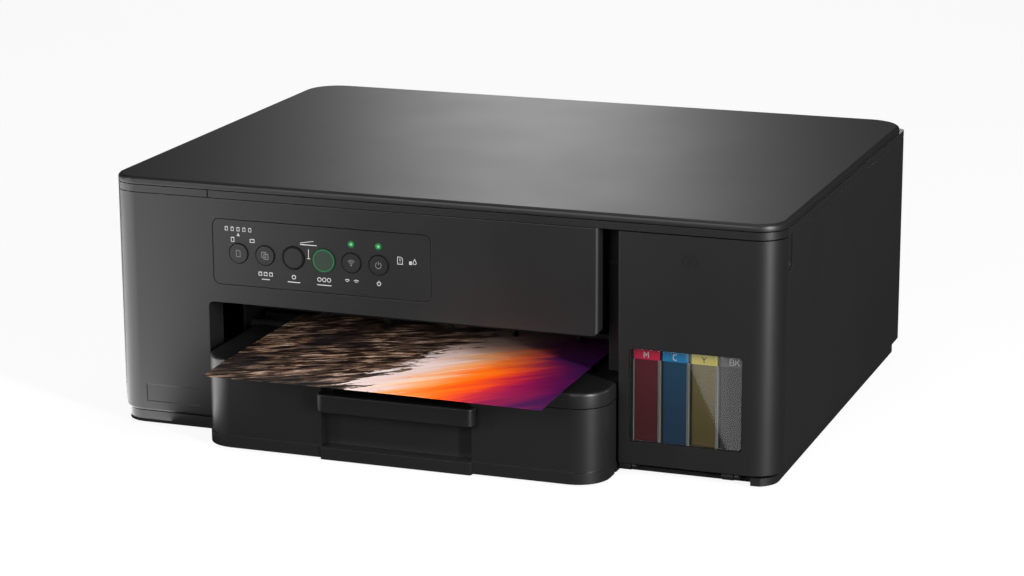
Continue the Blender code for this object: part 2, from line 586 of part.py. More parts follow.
# ---------------------------------------------------------------- print engine
def engine_frame():
    top = FRAME_TOP
    wall = SHEET_METAL
    made = place("carriage_frame", block((FRAME_L, RAIL_WALL_Y, SHEET_Z + 1),
                                         (FRAME_R, RAIL_WALL_Y + wall, top)), "steel")
    front, rear = FRONT_RAIL_Y, RAIL_WALL_Y + wall
    join(made,
         block((FRAME_L, RAIL_LIP_Y, top - wall), (FRAME_R, RAIL_WALL_Y + 1, top)),
         block((FRAME_L, RAIL_LIP_Y, top - 8), (FRAME_R, RAIL_LIP_Y + wall, top - 1)),
         block((FRAME_L, front, top - wall), (FRAME_R, front + 18, top)),
         block((FRAME_L, front, top - 10), (FRAME_R, front + wall, top - 1)),
         block((FRAME_L - wall, front, 12), (FRAME_L + 0.3, rear, top)),
         block((FRAME_R - 0.3, front, SHEET_Z + 2.8), (FRAME_R + wall, rear, top)))
    cut(made, *[drum((FRAME_L, y, ROLLER_Z), SHAFT_R + FIT, 8, steps=20)
                for y in (EXIT_Y, FEED_Y)])


def carriage():
    home, half, low = CARRIAGE_HOME, CARRIAGE_W / 2, SHEET_Z + 3.6
    top = FRAME_TOP - 12
    made = place("print_carriage", block((home - half, 82, low), (home + half, 150, top),
                                         corners=[("+x-y", 4, 3), ("-x-y", 4, 3)]), "inner_black")
    cut(made, block((home - half + 3, 86, low + 14), (home + half - 3, 146, top + 1)))
    # shoe that hooks over the rear rail's lip
    shoe = RAIL_LIP_Y
    glide = FRAME_TOP + FIT
    join(made, block((home - 26, 149, top - 8), (home + 26, shoe + 7, top - 4)),
         block((home - 26, shoe + 2.6, top - 7), (home + 26, shoe + 7, top + 8)),
         block((home - 18, 78, top - 10), (home + 18, 84, glide + 2.6)),
         block((home - 18, 60, glide), (home + 18, 79, glide + 2.5)))
    place("print_head", block((home - half + 5, 90, SHEET_Z + 1.2), (home + half - 5, 140, low - 0.3),
                              rims=[("-z", 0.8, 1)]), "steel")
    belt_y, belt_z, belt_r = RAIL_WALL_Y - 6.5, FRAME_TOP - 16, 6.5
    ends = (FRAME_L + 18, FRAME_R - 14)
    belt = place("carriage_belt", block((ends[0], belt_y - 3, belt_z - belt_r),
                                        (ends[1], belt_y + 3, belt_z + belt_r)), "rubber_black")
    join(belt, *[drum((x, belt_y, belt_z), belt_r, 5.8, "y", 20) for x in ends])
    inner_r = belt_r - 1.2
    cut(belt, block((ends[0], belt_y - 4, belt_z - inner_r), (ends[1], belt_y + 4, belt_z + inner_r)),
        *[drum((x, belt_y, belt_z), inner_r, 9, "y", 20) for x in ends])
    motor = place("carriage_motor", drum((ends[0], RAIL_WALL_Y + SHEET_METAL + 16, belt_z), 12, 30,
                                         "y", 24), "steel")
    join(motor, drum((ends[0], belt_y, belt_z), belt_r - 1.7, 6, "y", 16))
    cut(bpy.data.objects["carriage_frame"],
        drum((ends[0], RAIL_WALL_Y, belt_z), 8.5, 8, "y", 20))
    join(motor, drum((ends[0], RAIL_WALL_Y - 2, belt_z), 2, 12, "y", 12))


def rollers():
    half = SHEET_W / 2 + 3
    left, right = FRAME_L - 10, WALL_PLATE_L + WALL + 1.5
    for name, y in (("exit_roller", EXIT_Y), ("feed_roller", FEED_Y)):
        made = place(name, drum(((left + right) / 2, y, ROLLER_Z), SHAFT_R, right - left, steps=20),
                     "rubber_black", origin=(PAPER_X, y, ROLLER_Z), smooth=True)
        if name == "exit_roller":
            join(made, *[drum((PAPER_X + s * 36, y, ROLLER_Z), ROLLER_R - 0.3, 14, steps=24)
                         for s in (-2.4, -1.2, 0, 1.2, 2.4)])
        else:
            join(made, drum((PAPER_X, y, ROLLER_Z), ROLLER_R - 0.3, 2 * half, steps=24))
    wheel = place("feed_gear", gear((FRAME_L - 6, FEED_Y, ROLLER_Z), 26, 18.0, 5.0),
                  "white_plastic", origin=(FRAME_L - 6, FEED_Y, ROLLER_Z))
    cut(wheel, drum((FRAME_L - 6, FEED_Y, ROLLER_Z), SHAFT_R + 0.3, 10, steps=20))
    x0, x1 = OPENING_L + 2, BAY_X - 2
    platen = place("platen", block((x0, 78, SHEET_Z - 8), (x1, 136, SHEET_Z - 2)), "inner_black")
    join(platen, *[block((PAPER_X + s * 22 - 1, 80, SHEET_Z - 3), (PAPER_X + s * 22 + 1, 134,
                                                                 SHEET_Z - 0.6))
                   for s in range(-5, 6)])
    comb = place("star_wheel_holder", block((x0, EXIT_Y - 5, SHEET_Z + 6), (x1, EXIT_Y + 5,
                                                                           SHEET_Z + 9)),
                 "grey_plastic")
    join(comb, *[drum((PAPER_X + s * 36, EXIT_Y, SHEET_Z + 5), 4.2, 2, steps=16)
                 for s in (-2.4, -1.2, 0, 1.2, 2.4)])
    # pick-up roller on its swinging arm
    pivot, axle = (PAPER_X, RAIL_WALL_Y + 12, 50.0), (PAPER_X, RAIL_WALL_Y + 48, 24.0)
    reach = math.hypot(axle[1] - pivot[1], axle[2] - pivot[2])
    beam = block((PAPER_X - 17, -4, -3), (PAPER_X - 11, reach + 3, 3))
    slope = math.atan2(axle[2] - pivot[2], axle[1] - pivot[1])
    bmesh.ops.rotate(beam, cent=(0, 0, 0), matrix=Matrix.Rotation(slope, 3, "X"), verts=beam.verts)
    bmesh.ops.translate(beam, vec=(0, pivot[1], pivot[2]), verts=beam.verts)
    arm = place("pickup_arm", drum(pivot, 5, 44, steps=20), "grey_plastic", origin=pivot)
    join(arm, beam, drum((PAPER_X - 3, axle[1], axle[2]), 2, 24, steps=14))
    wheel = place("pickup_roller", drum((PAPER_X - 1, axle[1], axle[2]), 9.5, 16, steps=28),
                  "rubber_black", origin=axle, smooth=True)
    cut(wheel, drum((PAPER_X - 1, axle[1], axle[2]), 2.3, 20, steps=14))


def services():
    x0 = BAY_X + 8
    caps = place("capping_station", block((x0, 94, 22), (HALF_W - 14, 142, SHEET_Z - 12)),
                 "inner_black")
    join(caps, block((x0 + 6, 98, SHEET_Z - 13), (x0 + 60, 138, SHEET_Z - 4), rims=[("+z", 1, 1)]))
    cut(caps, block((x0 + 13, 101, SHEET_Z - 9), (x0 + 53, 135, SHEET_Z + 1)))
    board_x = -HALF_W + WALL + 5
    place("main_board", block((board_x, 60, 16), (board_x + 1.6, BODY_DEPTH - 70, 110)),
          "board_green")
    place("power_supply", block((-HALF_W + 12, BODY_DEPTH - 100, BASE_BOTTOM + WALL + 2),
                                (TRAY_L - 8, BODY_DEPTH - 26, 60), rims=[("+z", 2, 2)]),
          "grey_plastic")


# ---------------------------------------------------------------- paper
SUPPORT_Z = 40.0
SUPPORT_T = 2.4
GRIP_W = 98.2
GRIP_L, GRIP_R = PAPER_X - GRIP_W / 2, PAPER_X + GRIP_W / 2


def cassette():
    floor = FLOOR
    low = 1.8
    front = -TRAY_OUT
    bar = 13.0  # thickness of the front block
    corner = 20.0
    made = place("paper_tray", block((TRAY_L, front, floor), (TRAY_R, TRAY_REAR, TRAY_TOP),
                                     corners=[("-x-y", corner, 8), ("+x-y", corner, 8)]),
                 "casing_black")
    skirt = block((TRAY_L, front - 1.3, low), (TRAY_R, -1, low + 7.2),
                  corners=[("-x-y", corner, 8), ("+x-y", corner, 8)])
    lip = block((GRIP_L - 0.4, front - 2.8, low - 0.7), (GRIP_R + 0.4, front + 8, low + 7.6),
                corners=[("-x-y", 1.5, 2), ("+x-y", 1.5, 2)], rims=[("+z", 0.8, 1)])
    cut(made, block((GRIP_L, front - 1, low + 7), (GRIP_R, front + 6, TRAY_TOP + 1)))
    join(made, skirt, lip)
    cut(made, block((TRAY_L + TRAY_WALL, front + bar, floor + 2.2),
                    (TRAY_R - TRAY_WALL, TRAY_REAR - TRAY_WALL, TRAY_TOP + 1),
                    corners=[("-x-y", 8, 3), ("+x-y", 8, 3)]))
    cut(made, block((GRIP_L + 6, front - 1, SUPPORT_Z - FIT),
                    (GRIP_R - 6, front + bar + 1, TRAY_TOP + 1)))
    # the pick-up arm passes through the rear wall as the cassette slides out
    cut(made, block((PAPER_X - 25, TRAY_REAR - TRAY_WALL - 1, floor + 5),
                    (PAPER_X + 25, TRAY_REAR + 1, TRAY_TOP + 1)))
    # output shelf over the front of the cassette
    shelf = place("tray_cover", block(
        (TRAY_L, front, TRAY_TOP + FIT), (TRAY_R, SHELF_REAR, TRAY_COVER_TOP),
        corners=[("-x-y", corner, 8), ("+x-y", corner, 8)], rims=[("+z", 2, 2)]), "casing_black")
    cut(shelf, block((TRAY_L + 3, front + 6, TRAY_TOP - 1),
                     (TRAY_R - 3, SHELF_REAR + 1, TRAY_COVER_TOP - TRAY_WALL),
                     corners=[("-x-y", 14, 4), ("+x-y", 14, 4)]))
    # sliding paper support with its grip bar
    top = SUPPORT_Z + SUPPORT_T
    support = place("paper_support", block((GRIP_L + 7, front - 3, SUPPORT_Z),
                                           (GRIP_R - 7, 118, top)), "casing_black")
    join(support, block((GRIP_L - 0.8, front - 8, SUPPORT_Z - 7.6), (GRIP_R + 3.6, front - 0.6,
                                                                    SUPPORT_Z + 4.2),
                        corners=[("-x-y", 5, 4), ("+x-y", 5, 4)], rims=[("+z", 1, 2), ("-z", 1, 2)]))


STACK_FRONT = TRAY_REAR - TRAY_WALL - 1.0 - SHEET_L  # blank paper's front edge


def paper_guides():
    floor, top = FLOOR + 2.2 + 0.3, 34.0
    half = SHEET_W / 2 + 0.8
    for side, sign in (("left", -1), ("right", 1)):
        x = PAPER_X + sign * half
        made = place(f"width_guide_{side}", block((min(x, x + sign * 2.5), 70, floor),
                                                  (max(x, x + sign * 2.5), 168, top),
                                                  corners=[("-y+z", 6, 3), ("+y+z", 6, 3)]),
                     "grey_plastic")
        join(made, block((min(x - sign * 40, x + sign), 112, floor),
                         (max(x - sign * 40, x + sign), 124, floor + 1.6)))
    made = place("length_guide", block((PAPER_X - 20, STACK_FRONT - 3, floor),
                                       (PAPER_X + 20, STACK_FRONT, top),
                                       corners=[("-x+z", 6, 3), ("+x+z", 6, 3)]), "grey_plastic")
    join(made, block((PAPER_X - 8, STACK_FRONT - 1, floor), (PAPER_X + 8, STACK_FRONT + 28,
                                                             floor + 1.6)))


def sheet():
    place("printed_sheet", block((PAPER_X - SHEET_W / 2 + 1.5, -SHEET_OUT, SHEET_Z),
                                 (PAPER_X + SHEET_W / 2 + 1.5, SHEET_L - SHEET_OUT, SHEET_Z + 0.4)),
          "printed_paper")


base()
feet()
front_cover()
side_covers()
rear_covers()
power_inlet()
ink_bay_wall()
lid()
scanner()
control_panel()
ink_cover()
ink_tanks()
engine_frame()
carriage()
rollers()
services()
cassette()
paper_guides()
sheet()
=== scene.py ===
import json
import math

import bmesh
import bpy
from mathutils import Matrix, Vector


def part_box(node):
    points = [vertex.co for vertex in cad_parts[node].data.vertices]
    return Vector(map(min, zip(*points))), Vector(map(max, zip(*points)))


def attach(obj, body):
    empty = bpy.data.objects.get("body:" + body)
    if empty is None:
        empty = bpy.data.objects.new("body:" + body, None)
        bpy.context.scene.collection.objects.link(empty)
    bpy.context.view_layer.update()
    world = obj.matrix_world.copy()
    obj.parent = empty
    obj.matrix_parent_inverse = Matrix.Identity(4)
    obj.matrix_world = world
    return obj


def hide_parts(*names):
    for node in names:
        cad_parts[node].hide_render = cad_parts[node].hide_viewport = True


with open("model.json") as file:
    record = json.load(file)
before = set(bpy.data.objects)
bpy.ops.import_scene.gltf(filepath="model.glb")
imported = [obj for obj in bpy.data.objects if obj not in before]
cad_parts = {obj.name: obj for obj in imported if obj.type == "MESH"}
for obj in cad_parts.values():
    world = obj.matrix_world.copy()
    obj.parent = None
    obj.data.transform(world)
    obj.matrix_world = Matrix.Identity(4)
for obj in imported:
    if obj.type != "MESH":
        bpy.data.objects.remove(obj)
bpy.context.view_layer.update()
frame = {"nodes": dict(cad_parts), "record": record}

NODES = frame["nodes"]
MM = 0.001
BODY_OF = {node: body for body, members in frame["record"]["behaviour"]["bodies"].items()
           for node in members}
SLOT_OF = {part["node"]: part["material_slot"] for part in frame["record"]["subparts"]}


# ---------------------------------------------------------------- shader helpers
class Look:
    """One material: a Principled shader and the nodes that feed it."""

    def __init__(self, name, colour=(0.5, 0.5, 0.5), roughness=0.5, **fixed):
        self.material = bpy.data.materials.new(name)
        self.material.use_nodes = True
        self.nodes = self.material.node_tree.nodes
        self.links = self.material.node_tree.links
        self.shader = self.nodes["Principled BSDF"]
        self.set("Base Color", (*colour, 1))
        self.set("Roughness", roughness)
        for socket, value in fixed.items():
            self.set(socket.replace("_", " "), value)
        self.coords = self.nodes.new("ShaderNodeTexCoord").outputs["Object"]

    def set(self, socket, value):
        self.shader.inputs[socket].default_value = value

    def link(self, source, socket):
        self.links.new(source, self.shader.inputs[socket])

    def node(self, kind, inputs=None, **settings):
        made = self.nodes.new(kind)
        for name, value in settings.items():
            setattr(made, name, value)
        for name, value in (inputs or {}).items():
            if isinstance(value, bpy.types.NodeSocket):
                self.links.new(value, made.inputs[name])
            else:
                made.inputs[name].default_value = value
        return made

    def noise(self, scale, detail=2.0, rough=0.5, vector=None):
        return self.node("ShaderNodeTexNoise", {
            "Vector": vector or self.coords, "Scale": scale, "Detail": detail,
            "Roughness": rough}).outputs["Fac"]

    def stretched(self, x, y, z):
        return self.node("ShaderNodeMapping", {"Vector": self.coords,
                                               "Scale": (x, y, z)}).outputs["Vector"]

    def span(self, value, low, high, start=0.0, end=1.0):
        return self.node("ShaderNodeMapRange", {
            "Value": value, "From Min": start, "From Max": end, "To Min": low,
            "To Max": high}).outputs["Result"]

    def math(self, operation, first, second=0.0):
        made = self.node("ShaderNodeMath", operation=operation)
        for at, value in enumerate((first, second)):
            if isinstance(value, bpy.types.NodeSocket):
                self.links.new(value, made.inputs[at])
            else:
                made.inputs[at].default_value = value
        return made.outputs[0]

    def blend(self, share, first, second, mode="MIX"):
        made = self.node("ShaderNodeMix", data_type="RGBA", blend_type=mode)
        for at, value in ((0, share), (6, first), (7, second)):
            if isinstance(value, bpy.types.NodeSocket):
                self.links.new(value, made.inputs[at])
            else:
                made.inputs[at].default_value = value if at == 0 else (*value[:3], 1)
        return made.outputs[2]

    def bump(self, height, strength, distance, under=None):
        made = self.node("ShaderNodeBump", {"Height": height, "Strength": strength,
                                            "Distance": distance})
        if under is not None:
            self.links.new(under, made.inputs["Normal"])
        return made.outputs["Normal"]

    def edge(self):
        """1 on the small rounded faces along a moulding's edges."""
        return self.node("ShaderNodeAttribute", attribute_name="edge").outputs["Fac"]


def moulded(name, colour, roughness, grain=0.45, relief=0.25, polish=0.1, specular=0.35,
            cloudy=0.035):
    """Moulded plastic: spark-eroded grain, cloudy gloss, and edges that handling has polished and worn
    lighter; the lighter edge colour is also a painted highlight.
    """
    look = Look(name, colour, roughness, Specular_IOR_Level=specular)
    cloud = look.noise(14.0, 3.0)
    fine = look.noise(1000 / grain, 2.0)
    tint = look.blend(look.span(cloud, 0.0, 0.35, 0.35, 0.7), colour, [c * 1.18 for c in colour])
    # edges drawn lighter: wear, and also a painted highlight standing for the thin light line along each
    # edge
    wear_and_highlight = look.blend(look.math("MULTIPLY", look.edge(), 0.5), tint,
                      [c * 2.0 + 0.004 for c in colour])
    look.link(wear_and_highlight, "Base Color")
    gloss = look.span(cloud, roughness - cloudy, roughness + cloudy, 0.3, 0.7)
    gloss = look.math("ADD", gloss, look.span(fine, -0.04, 0.04))
    gloss = look.math("SUBTRACT", gloss, look.math("MULTIPLY", look.edge(), polish))
    look.link(gloss, "Roughness")
    look.link(look.bump(fine, relief, grain * MM * 0.12), "Normal")
    return look.material


def metal(name, colour, roughness):
    """Rolled steel: fine lines along x, cloudy gloss."""
    look = Look(name, colour, roughness, Metallic=1.0)
    lines = look.noise(1.0, 3.0, 0.6, look.stretched(30, 1500, 1500))
    cloud = look.noise(20.0, 3.0)
    look.link(look.blend(look.span(cloud, 0.0, 0.5, 0.3, 0.7), colour, [c * 0.8 for c in colour]),
              "Base Color")
    look.link(look.span(lines, roughness - 0.1, roughness + 0.12, 0.25, 0.75), "Roughness")
    look.link(look.bump(lines, 0.2, 0.00003), "Normal")
    return look.material


INK_TOP, INK_LOW = 0.078, 0.03  # heights between which the colour grows darker towards the bottom, in metres


def ink(name, colour, deep):
    """A tank wall with ink behind it: darker low down, with faint flow lines."""
    look = Look(name, colour, 0.22, IOR=1.45)
    height = look.node("ShaderNodeSeparateXYZ", {"Vector": look.coords}).outputs["Z"]
    swirl = look.noise(60.0, 3.0, 0.6, look.stretched(1, 1, 0.35))
    level = look.math("ADD", look.span(height, 0.0, 1.0, INK_TOP, INK_LOW),
                      look.span(swirl, -0.18, 0.18))
    look.link(look.blend(level, colour, deep), "Base Color")
    look.link(look.span(look.noise(300.0), 0.16, 0.3), "Roughness")
    look.link(look.bump(swirl, 0.15, 0.0002), "Normal")
    return look.material


def glowing(name, core, halo, places, reach):
    """A lit lens: bright in the middle of each place and fading out towards its rim."""
    look = Look(name, [c * 0.2 for c in halo], 0.25)
    nearest = None
    for place in places:
        away = look.node("ShaderNodeVectorMath", {0: look.coords, 1: place},
                         operation="DISTANCE").outputs["Value"]
        nearest = away if nearest is None else look.math("MINIMUM", nearest, away)
    fall = look.span(nearest, 1.0, 0.0, 0.0, reach)
    hot = look.math("POWER", fall, 3.0)
    look.link(look.blend(hot, halo, core), "Emission Color")
    look.link(look.math("MULTIPLY", look.math("POWER", fall, 1.6), 1.1), "Emission Strength")
    look.link(look.span(look.noise(900.0), 0.2, 0.35), "Roughness")
    return look.material


def clear(name, colour, alpha, roughness, specular):
    """A thin clear sheet, with faint smears."""
    look = Look(name, colour, roughness, Alpha=alpha, Specular_IOR_Level=specular)
    look.link(look.span(look.noise(25.0, 4.0), roughness, roughness + 0.05, 0.4, 0.7), "Roughness")
    look.link(look.bump(look.noise(40.0), 0.05, 0.0004), "Normal")
    return look.material


def board(name):
    """Solder mask with copper tracks under it."""
    mask, over_copper = (0.01, 0.09, 0.035), (0.03, 0.22, 0.08)
    look = Look(name, mask, 0.3)
    tracks = look.node("ShaderNodeTexBrick", {
        "Vector": look.node("ShaderNodeMapping", {"Vector": look.coords,
                                                  "Rotation": (0, math.pi / 2, 0)}).outputs[0],
        "Scale": 130.0, "Mortar Size": 0.03, "Brick Width": 1.7,
        "Row Height": 0.25}).outputs["Fac"]
    patch = look.span(look.noise(60.0, 2.0), 0.0, 1.0, 0.48, 0.52)
    copper = look.math("MULTIPLY", tracks, patch)
    look.link(look.blend(copper, mask, over_copper), "Base Color")
    look.link(look.bump(copper, 0.5, 0.00008), "Normal")
    look.link(look.span(look.noise(200.0), 0.22, 0.4), "Roughness")
    return look.material


def rubber(name):
    """Matt rubber with a little dust on it."""
    clean = (0.012, 0.012, 0.012)
    look = Look(name, clean, 0.8, Specular_IOR_Level=0.3)
    rough = look.noise(900.0, 3.0)
    dust = look.span(look.noise(35.0, 5.0), 0.0, 0.3, 0.5, 0.8)
    look.link(look.blend(dust, clean, (0.05, 0.048, 0.045)), "Base Color")
    look.link(look.span(rough, 0.65, 0.95), "Roughness")
    look.link(look.bump(rough, 0.5, 0.0001), "Normal")
    return look.material


SHEET_LOW, SHEET_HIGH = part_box("printed_sheet")
PRINT_LIFT = 1.35  # how much brighter the print is than its drawn colours


def print_out(name):
    """A photo print: dark rocks at the left, a line of foam, and a sunset sky to the right."""
    look = Look(name, (0.3, 0.15, 0.1), 0.35, Coat_Weight=0.25, Coat_Roughness=0.2)
    wide = SHEET_HIGH.x - SHEET_LOW.x
    frame_map = look.node("ShaderNodeMapping", {
        "Vector": look.coords, "Location": (-SHEET_LOW.x / wide, -SHEET_LOW.y / wide, 0),
        "Scale": (1 / wide, 1 / wide, 1)}).outputs[0]
    split = look.node("ShaderNodeSeparateXYZ", {"Vector": frame_map})
    across, along = split.outputs["X"], split.outputs["Y"]

    def streaks(angle, thin, long, detail, rough=0.6):
        turned = look.node("ShaderNodeMapping", {"Vector": frame_map,
                                                 "Rotation": (0, 0, math.radians(-angle))}).outputs[0]
        drawn = look.node("ShaderNodeMapping", {"Vector": turned,
                                                "Scale": (1 / long, 1 / thin, 1)}).outputs[0]
        return look.node("ShaderNodeTexNoise", {"Vector": drawn, "Scale": 1.0, "Detail": detail,
                                                "Roughness": rough,
                                                "Distortion": 0.6}).outputs["Fac"]

    def ramp(value, *stops):
        made = look.node("ShaderNodeValToRGB", {"Fac": value})
        colours = made.color_ramp
        while len(colours.elements) < len(stops):
            colours.elements.new(1.0)
        for element, (at, colour) in zip(colours.elements, stops):
            element.position = at
            element.color = (*(c ** 2.2 for c in colour), 1)
        return made.outputs["Color"]

    # the shore runs away to the right, with a ragged edge
    ragged = look.span(streaks(35, 0.03, 0.12, 5.0, 0.7), -0.09, 0.09, 0.3, 0.7)
    slant = look.math("SUBTRACT", across, look.math("MULTIPLY", along, 0.30))
    shore = look.math("ADD", slant, ragged)
    soft = look.math("ADD", slant, look.span(streaks(42, 0.05, 0.5, 3.0), -0.05, 0.05, 0.3, 0.7))
    sky = ramp(soft, (0.40, (0.93, 0.86, 0.85)), (0.50, (0.92, 0.78, 0.74)),
               (0.56, (0.97, 0.66, 0.42)), (0.63, (1.0, 0.47, 0.10)), (0.71, (0.98, 0.33, 0.07)),
               (0.77, (0.78, 0.17, 0.20)), (0.83, (0.56, 0.09, 0.27)), (0.95, (0.26, 0.04, 0.27)))
    beams = look.span(streaks(42, 0.022, 0.6, 4.0), 0.0, 0.8, 0.52, 0.72)
    near_sun = look.span(look.math("ABSOLUTE", look.math("SUBTRACT", soft, 0.53)),
                         1.0, 0.0, 0.02, 0.13)
    sky = look.blend(look.math("MULTIPLY", beams, near_sun), sky, (1.0, 0.88, 0.74))
    dusk = look.math("ADD", look.math("MULTIPLY", along, 0.9), look.math("MULTIPLY", across, 0.75))
    dusk = look.math("ADD", dusk, look.span(streaks(30, 0.08, 0.4, 3.0), -0.07, 0.07, 0.3, 0.7))
    sky = look.blend(look.span(dusk, 0.0, 0.96, 0.84, 1.12), sky, (0.018, 0.003, 0.045))
    haze = look.math("MULTIPLY", look.span(along, 0.0, 0.75, 0.3, 0.55),
                     look.span(slant, 1.0, 0.0, 0.52, 0.66))
    sky = look.blend(haze, sky, (0.20, 0.13, 0.10))
    stone = ramp(streaks(28, 0.018, 0.10, 6.0, 0.72), (0.40, (0.05, 0.04, 0.04)),
                 (0.48, (0.16, 0.12, 0.10)), (0.53, (0.42, 0.32, 0.26)), (0.58, (0.62, 0.50, 0.42)),
                 (0.66, (0.86, 0.76, 0.70)))
    shade = look.noise(7.0, 3.0, 0.5, frame_map)
    stone = look.blend(look.span(shade, 0.0, 0.85, 0.42, 0.62), stone, (0.006, 0.005, 0.006))
    colour = look.blend(look.span(shore, 0.0, 1.0, 0.425, 0.445), stone, sky)
    colour = look.blend(1.0, colour, (PRINT_LIFT,) * 3, "MULTIPLY")
    look.link(colour, "Base Color")
    look.link(look.span(look.noise(180.0), 0.3, 0.42), "Roughness")
    look.link(look.bump(look.noise(2500.0), 0.08, 0.00003), "Normal")
    return look.material


PANEL_LOW, PANEL_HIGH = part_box("control_panel")
LENS_R = 2.2 * MM
LIGHTS_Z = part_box("indicator_light_guide")[0].z + 1.4 * MM  # the light guide's tips end here
LIGHTS = [((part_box(name)[0].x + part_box(name)[1].x) / 2, PANEL_LOW.y, LIGHTS_Z)
          for name in ("button_wifi", "button_power")]

LOOKS = {
    "casing_black": moulded("casing_black", (0.0072, 0.0072, 0.0073), 0.40, cloudy=0.02),
    "lid_black": moulded("lid_black", (0.0068, 0.0068, 0.0068), 0.45, grain=0.35, relief=0.15,
                         cloudy=0.012),
    "inner_black": moulded("inner_black", (0.004, 0.004, 0.004), 0.6, relief=0.1, specular=0.2),
    "panel_black": moulded("panel_black", (0.0072, 0.0072, 0.0072), 0.40, grain=0.3, relief=0.1),
    "button_black": moulded("button_black", (0.008, 0.008, 0.008), 0.38, grain=0.25, relief=0.05),
    "rubber_black": rubber("rubber_black"),
    "grey_plastic": moulded("grey_plastic", (0.16, 0.16, 0.165), 0.5),
    "white_plastic": moulded("white_plastic", (0.7, 0.7, 0.68), 0.45),
    "white_pad": moulded("white_pad", (0.5, 0.5, 0.49), 0.75, grain=1.6, relief=0.6),
    "board_green": board("board_green"),
    "indicator_green": glowing("indicator_green", (0.55, 1.0, 0.65), (0.01, 0.35, 0.08), LIGHTS,
                               LENS_R + 0.2 * MM),
    "steel": metal("steel", (0.5, 0.5, 0.51), 0.32),
    "scanner_glass": clear("scanner_glass", (0.03, 0.04, 0.038), 0.45, 0.02, 0.9),
    "window_clear": clear("window_clear", (0.012, 0.013, 0.012), 0.3, 0.03, 1.0),
    "ink_magenta": ink("ink_magenta", (0.16, 0.010, 0.026), (0.10, 0.006, 0.014)),
    "ink_cyan": ink("ink_cyan", (0.010, 0.085, 0.17), (0.008, 0.05, 0.12)),
    "ink_yellow": ink("ink_yellow", (0.21, 0.17, 0.055), (0.13, 0.095, 0.025)),
    "ink_black": ink("ink_black", (0.05, 0.05, 0.05), (0.04, 0.04, 0.04)),
    "printed_paper": print_out("printed_paper"),
    # looks that shade a part of a slot
    "frame_steel": metal("frame_steel", (0.07, 0.07, 0.072), 0.42),
    "tank_clear": moulded("tank_clear", (0.20, 0.20, 0.18), 0.2, relief=0.05),
    "label_magenta": moulded("label_magenta", (0.85, 0.012, 0.09), 0.35, relief=0.05),
    "label_cyan": moulded("label_cyan", (0.012, 0.32, 0.70), 0.35, relief=0.05),
    "label_yellow": moulded("label_yellow", (0.85, 0.72, 0.10), 0.35, relief=0.05),
    "label_black": moulded("label_black", (0.12, 0.12, 0.125), 0.35, relief=0.05),
    "print_white": moulded("print_white", (0.42, 0.42, 0.42), 0.5, relief=0.05),
    "letter_white": moulded("letter_white", (0.9, 0.9, 0.9), 0.5, relief=0.05),
    "print_grey": moulded("print_grey", (0.12, 0.12, 0.12), 0.5, relief=0.05),
    "print_black": moulded("print_black", (0.002, 0.002, 0.002), 0.6, relief=0.05, specular=0.1),
    "print_green": moulded("print_green", (0.006, 0.10, 0.03), 0.4, relief=0.05),
    "button_green": moulded("button_green", (0.014, 0.026, 0.018), 0.38, grain=0.25,
                            relief=0.05),
}


# ---------------------------------------------------------------- shapes
SMOOTH_BELOW = math.radians(32.0)  # an edge that turns more than this is drawn sharp


def keep(name, bm, look, body):
    """A mesh piece of the printer that rides on a body."""
    for face in bm.faces:
        face.smooth = True
    for e in bm.edges:
        if len(e.link_faces) == 2:
            e.smooth = e.calc_face_angle(0.0) < SMOOTH_BELOW
    mesh = bpy.data.meshes.new(name)
    bm.to_mesh(mesh)
    bm.free()
    mesh.materials.append(LOOKS[look])
    piece = bpy.data.objects.new(name, mesh)
    bpy.context.scene.collection.objects.link(piece)
    level = piece.modifiers.new("flat faces stay flat", "WEIGHTED_NORMAL")
    level.keep_sharp = True
    level.weight = 90
    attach(piece, body)
    return piece


def soften(bm, radius, steps=2, crease=28.0):
    """Rounds every sharp edge and marks the new faces as edges, which the looks draw polished and
    lighter: wear, and a painted highlight.
    """
    wear_and_highlight = bm.faces.layers.float.get("edge") or bm.faces.layers.float.new("edge")
    sharp = [e for e in bm.edges if len(e.link_faces) == 2
             and abs(e.calc_face_angle(0.0)) > math.radians(crease)]
    made = bmesh.ops.bevel(bm, geom=sharp, offset=radius * MM, offset_type="OFFSET",
                           segments=steps, profile=0.5, affect="EDGES", clamp_overlap=True,
                           loop_slide=True)
    for face in made["faces"]:
        face[wear_and_highlight] = 1.0
    return bm


def finished(node, edge=0.45, steps=2, look=None, crease=28.0):
    """A CAD solid with its edges rounded off by the given radius, in millimetres."""
    bm = bmesh.new()
    bm.from_mesh(NODES[node].data)
    for layer in list(bm.loops.layers.uv.values()):
        bm.loops.layers.uv.remove(layer)
    bmesh.ops.remove_doubles(bm, verts=bm.verts, dist=2e-6)
    bmesh.ops.dissolve_limit(bm, angle_limit=math.radians(0.7), verts=bm.verts, edges=bm.edges)
    soften(bm, edge, steps, crease)
    slot = SLOT_OF[node]
    piece = keep(node + ".look", bm, look or slot, BODY_OF[node])
    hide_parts(node)
    return piece


def soft_box(bm, low, high, radius=0.3):
    """Adds a box with rounded edges, given in millimetres of the row's frame."""
    low, high = Vector(low) * MM, Vector(high) * MM
    part = bmesh.new()
    bmesh.ops.create_cube(part, size=1)
    bmesh.ops.scale(part, vec=high - low, verts=part.verts)
    bmesh.ops.translate(part, vec=(low + high) / 2, verts=part.verts)
    return add(bm, soften(part, radius))


